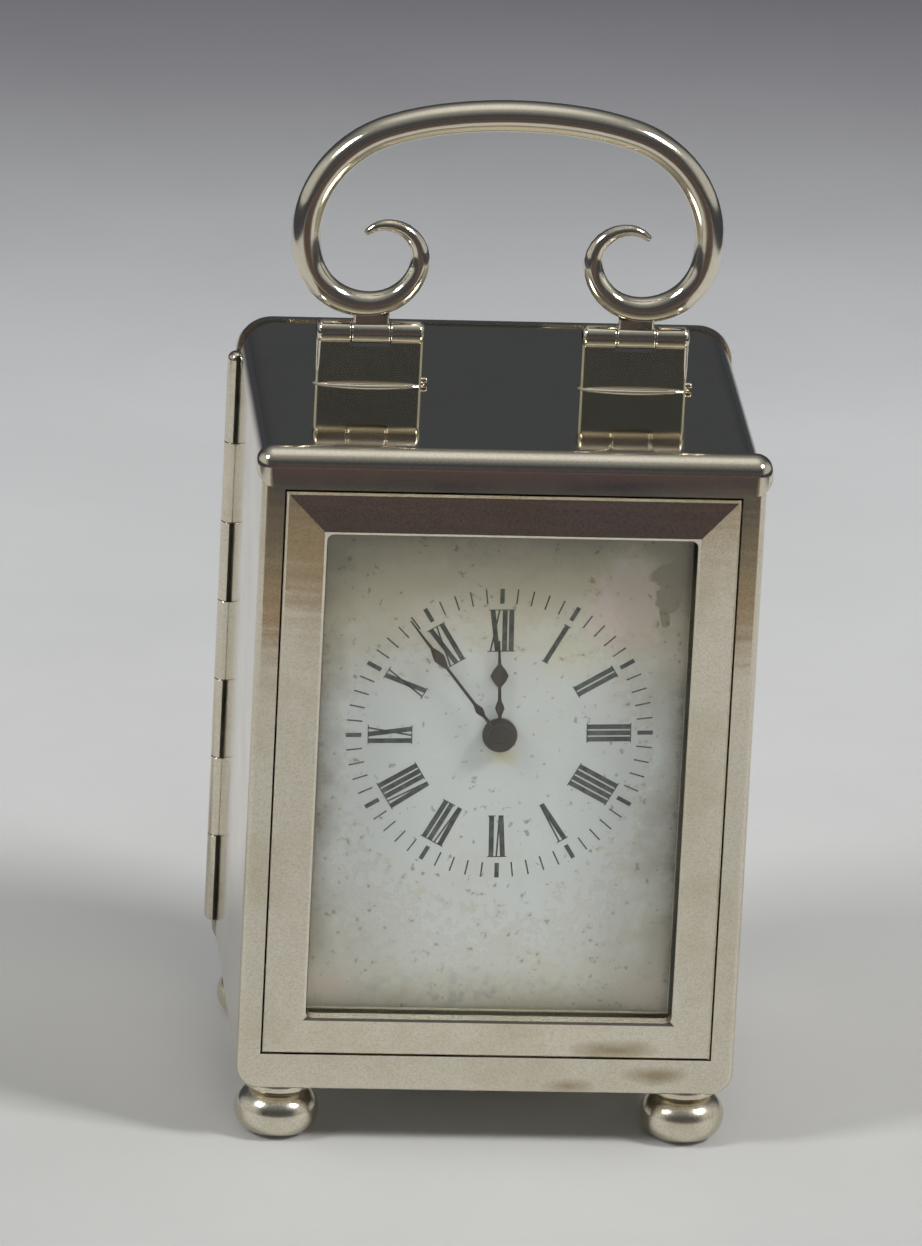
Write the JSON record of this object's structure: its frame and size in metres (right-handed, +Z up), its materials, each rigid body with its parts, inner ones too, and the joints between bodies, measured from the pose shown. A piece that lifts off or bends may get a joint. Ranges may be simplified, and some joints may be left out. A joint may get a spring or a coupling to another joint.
{
  "type": "carriage clock",
  "caption": "Small silver carriage clock: rectangular case with a hinged back door, folding scroll handle, enamel dial and lever platform movement.",
  "frame": {"origin": "on the floor, below the middle of the clock's bounding box", "axes": "+Z up, -Y towards the dial side, +X to the right as seen by a reader of the dial"},
  "size_m": [0.0516, 0.0434, 0.1037],
  "materials": {
    "silver": "polished, lightly worn",
    "glass": "polished flat",
    "enamel": "fired white enamel, stained at its edges",
    "brass": "lacquered, gilt",
    "hand_steel": "blued steel gone dull",
    "steel": "polished"
  },
  "bodies": {
    "case": {"case_shell": "silver", "front_frame": "silver", "top_rim": "silver", "bezel": "silver", "glass_pane": "glass", "glass_retainer": "silver", "dial_plate": "enamel", "dial_posts": "brass", "bracket_left": "silver", "bracket_right": "silver", "bracket_screws": "steel", "handle_pins": "steel", "case_hinge": "silver", "door_hinge_pin": "steel", "foot_front_left": "silver", "foot_front_right": "silver", "foot_rear_left": "silver", "foot_rear_right": "silver", "foot_screws": "steel", "case_screws": "steel", "front_plate": "brass", "back_plate": "brass", "pillars": "brass", "pillar_screws": "steel", "platform_plate": "silver", "platform_screws": "steel", "escape_potence": "brass", "escape_bridge": "brass", "balance_cock": "brass", "minute_wheel_stud": "steel", "click_screw": "steel", "click_spring": "steel"},
    "handle": {"handle_bail": "silver", "handle_knuckles": "silver"},
    "door": {"back_door": "silver", "door_catch": "silver"},
    "barrel_drum": {"barrel": "brass", "barrel_cap": "brass", "mainspring": "steel"},
    "winding": {"barrel_arbor": "steel", "ratchet_wheel": "steel"},
    "click_lever": {"click": "steel"},
    "centre": {"centre_arbor": "steel", "centre_wheel": "brass", "cannon_pinion": "steel", "minute_hand": "hand_steel", "hand_washer": "hand_steel"},
    "minute_work": {"minute_wheel": "brass"},
    "hour_work": {"hour_wheel": "brass", "hour_hand": "hand_steel"},
    "third": {"third_wheel": "brass"},
    "contrate": {"contrate_wheel": "brass"},
    "escape": {"escape_wheel": "brass"},
    "lever": {"pallet_lever": "steel"},
    "balance": {"balance_wheel": "brass", "balance_staff": "steel", "hairspring": "steel"},
    "index": {"regulator": "steel"}
  },
  "joints": [
    {"name": "handle_fold", "type": "hinge", "parent": "case", "child": "handle", "pos_m": [0.00025, 0.00028, 0.0793], "axis": [1, 0, 0], "range_deg": [-98, 98]},
    {"name": "door_swing", "type": "hinge", "parent": "case", "child": "door", "pos_m": [-0.02485, 0.01928, 0], "axis": [0, 0, 1], "range_deg": [0, 150]},
    {"name": "hands_turn", "type": "hinge", "parent": "case", "child": "centre", "pos_m": [0.00025, -0.02073, 0.0433], "axis": [0, 1, 0], "continuous": true},
    {"name": "barrel_turn", "type": "hinge", "parent": "case", "child": "barrel_drum", "pos_m": [-0.00475, -0.02073, 0.03134], "axis": [0, 1, 0], "continuous": true, "deforming": ["mainspring"]},
    {"name": "winding_turn", "type": "hinge", "parent": "case", "child": "winding", "pos_m": [-0.00475, -0.02073, 0.03134], "axis": [0, 1, 0], "continuous": true},
    {"name": "click_lift", "type": "hinge", "parent": "case", "child": "click_lever", "pos_m": [-0.00935, -0.02073, 0.03634], "axis": [0, -1, 0], "range_deg": [0, 12]},
    {"name": "minute_wheel_turn", "type": "hinge", "parent": "case", "child": "minute_work", "pos_m": [0.00485, -0.02073, 0.03944], "axis": [0, 1, 0], "continuous": true},
    {"name": "hour_hand_turn", "type": "hinge", "parent": "case", "child": "hour_work", "pos_m": [0.00025, -0.02073, 0.0433], "axis": [0, 1, 0], "continuous": true},
    {"name": "third_wheel_turn", "type": "hinge", "parent": "case", "child": "third", "pos_m": [0.00702, -0.02073, 0.04923], "axis": [0, 1, 0], "continuous": true},
    {"name": "contrate_wheel_turn", "type": "hinge", "parent": "case", "child": "contrate", "pos_m": [0.00025, -0.02073, 0.0528], "axis": [0, 1, 0], "continuous": true},
    {"name": "escape_wheel_turn", "type": "hinge", "parent": "case", "child": "escape", "pos_m": [0.00025, -0.00658, 0], "axis": [0, 0, 1], "continuous": true},
    {"name": "pallet_lever_rock", "type": "hinge", "parent": "case", "child": "lever", "pos_m": [0.00025, -0.00357, 0], "axis": [0, 0, 1], "range_deg": [-5, 5]},
    {"name": "balance_swing", "type": "hinge", "parent": "case", "child": "balance", "pos_m": [0.00025, 0.00043, 0], "axis": [0, 0, 1], "range_deg": [-220, 220], "deforming": ["hairspring"]},
    {"name": "regulator_move", "type": "hinge", "parent": "case", "child": "index", "pos_m": [0.00025, 0.00043, 0], "axis": [0, 0, 1], "range_deg": [-20, 20]}
  ],
  "couplings": [
    {"joint": "barrel_turn", "follows": "hands_turn", "ratio": -0.14286},
    {"joint": "third_wheel_turn", "follows": "hands_turn", "ratio": -8},
    {"joint": "contrate_wheel_turn", "follows": "hands_turn", "ratio": 60},
    {"joint": "escape_wheel_turn", "follows": "hands_turn", "ratio": 600},
    {"joint": "minute_wheel_turn", "follows": "hands_turn", "ratio": -0.33333},
    {"joint": "hour_hand_turn", "follows": "hands_turn", "ratio": 0.083333}
  ]
}
